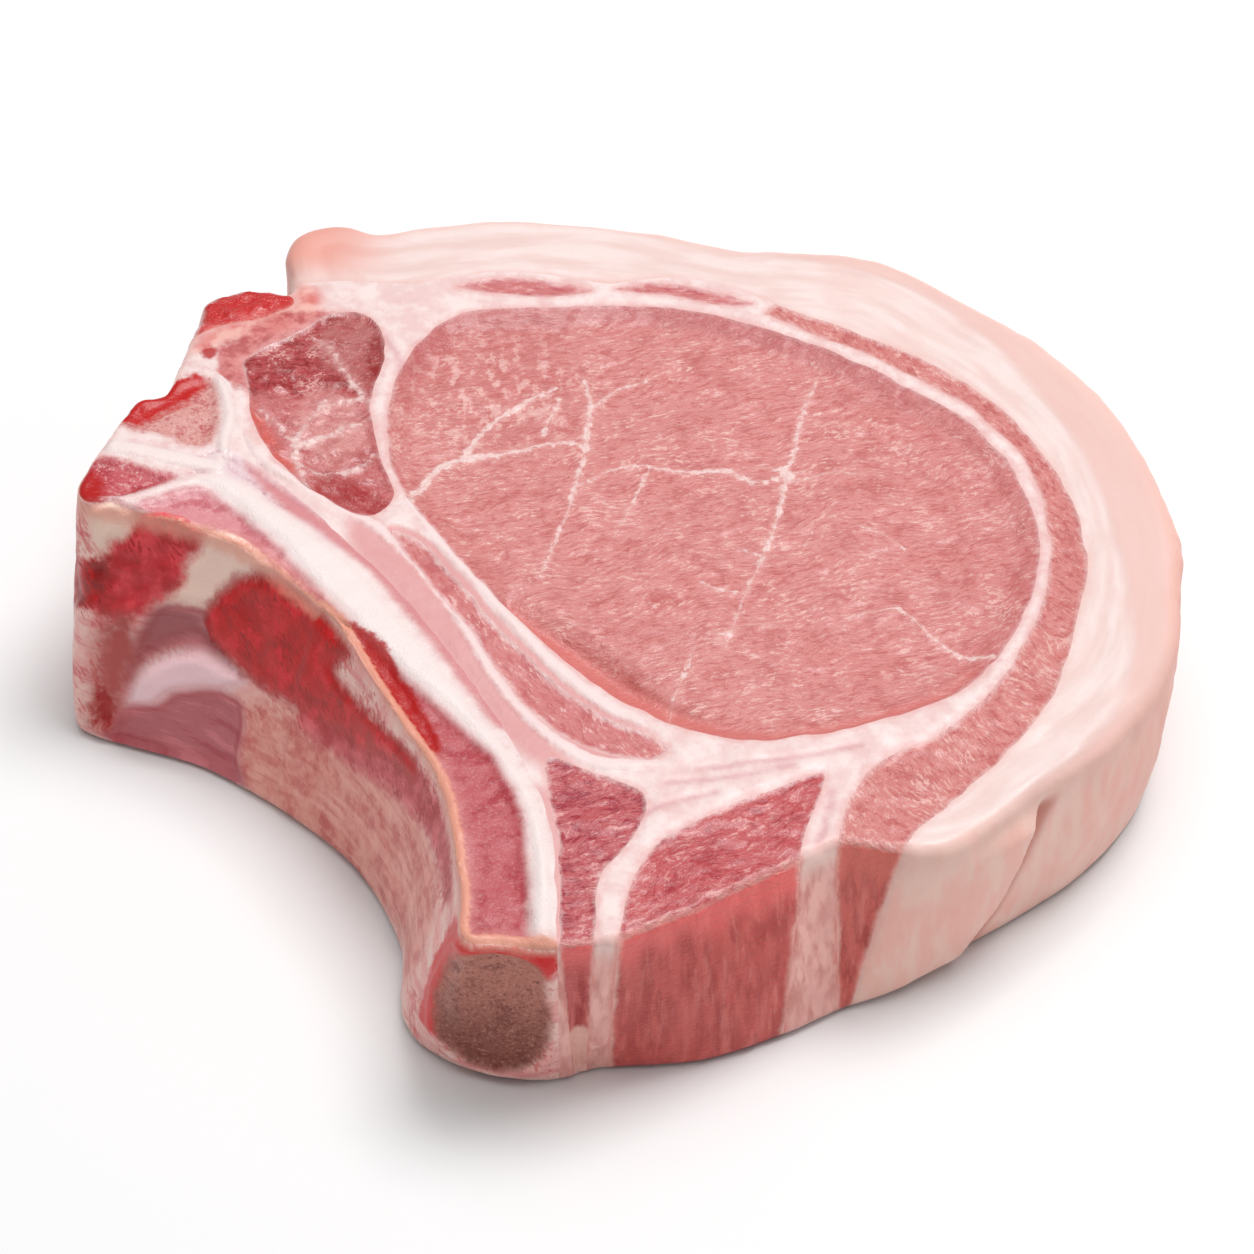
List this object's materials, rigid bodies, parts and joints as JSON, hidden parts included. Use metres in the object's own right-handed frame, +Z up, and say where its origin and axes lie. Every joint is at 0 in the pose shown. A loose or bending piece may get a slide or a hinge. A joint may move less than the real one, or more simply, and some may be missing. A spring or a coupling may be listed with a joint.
{
  "type": "raw pork chop",
  "caption": "Raw thick-cut bone-in pork rib chop lying flat, with loin eye, cap muscle, back fat, seam fat and a curved rib with chine bone.",
  "frame": {"origin": "centre of the chop's box, on the surface it rests on", "axes": "+X from the chine bone towards the outer fat, +Y from the rib end towards the back fat, +Z up out of the shown cut face"},
  "size_m": [0.1542, 0.1384, 0.038],
  "materials": {
    "bone": "moist sawn bone, cartilage and membrane",
    "back_fat": "firm creamy raw fat, faintly moist",
    "seam_fat": "white raw seam fat, faintly moist",
    "loin_eye": "moist raw pink muscle",
    "cap_muscle": "moist raw pink muscle",
    "chine_muscle": "moist raw dark pink muscle",
    "chine_tip": "moist raw red muscle",
    "rib_muscle": "moist raw pink muscle",
    "intercostal_muscle": "moist raw dark pink muscle",
    "belly_muscle": "moist raw dark pink muscle",
    "streak_left": "moist raw pink muscle",
    "streak_right": "moist raw pink muscle"
  },
  "bodies": {
    "root": {"bone": "bone", "back_fat": "back_fat", "seam_fat": "seam_fat", "loin_eye": "loin_eye", "cap_muscle": "cap_muscle", "chine_muscle": "chine_muscle", "chine_tip": "chine_tip", "rib_muscle": "rib_muscle", "intercostal_muscle": "intercostal_muscle", "belly_muscle": "belly_muscle", "streak_left": "streak_left", "streak_right": "streak_right"}
  },
  "joints": []
}
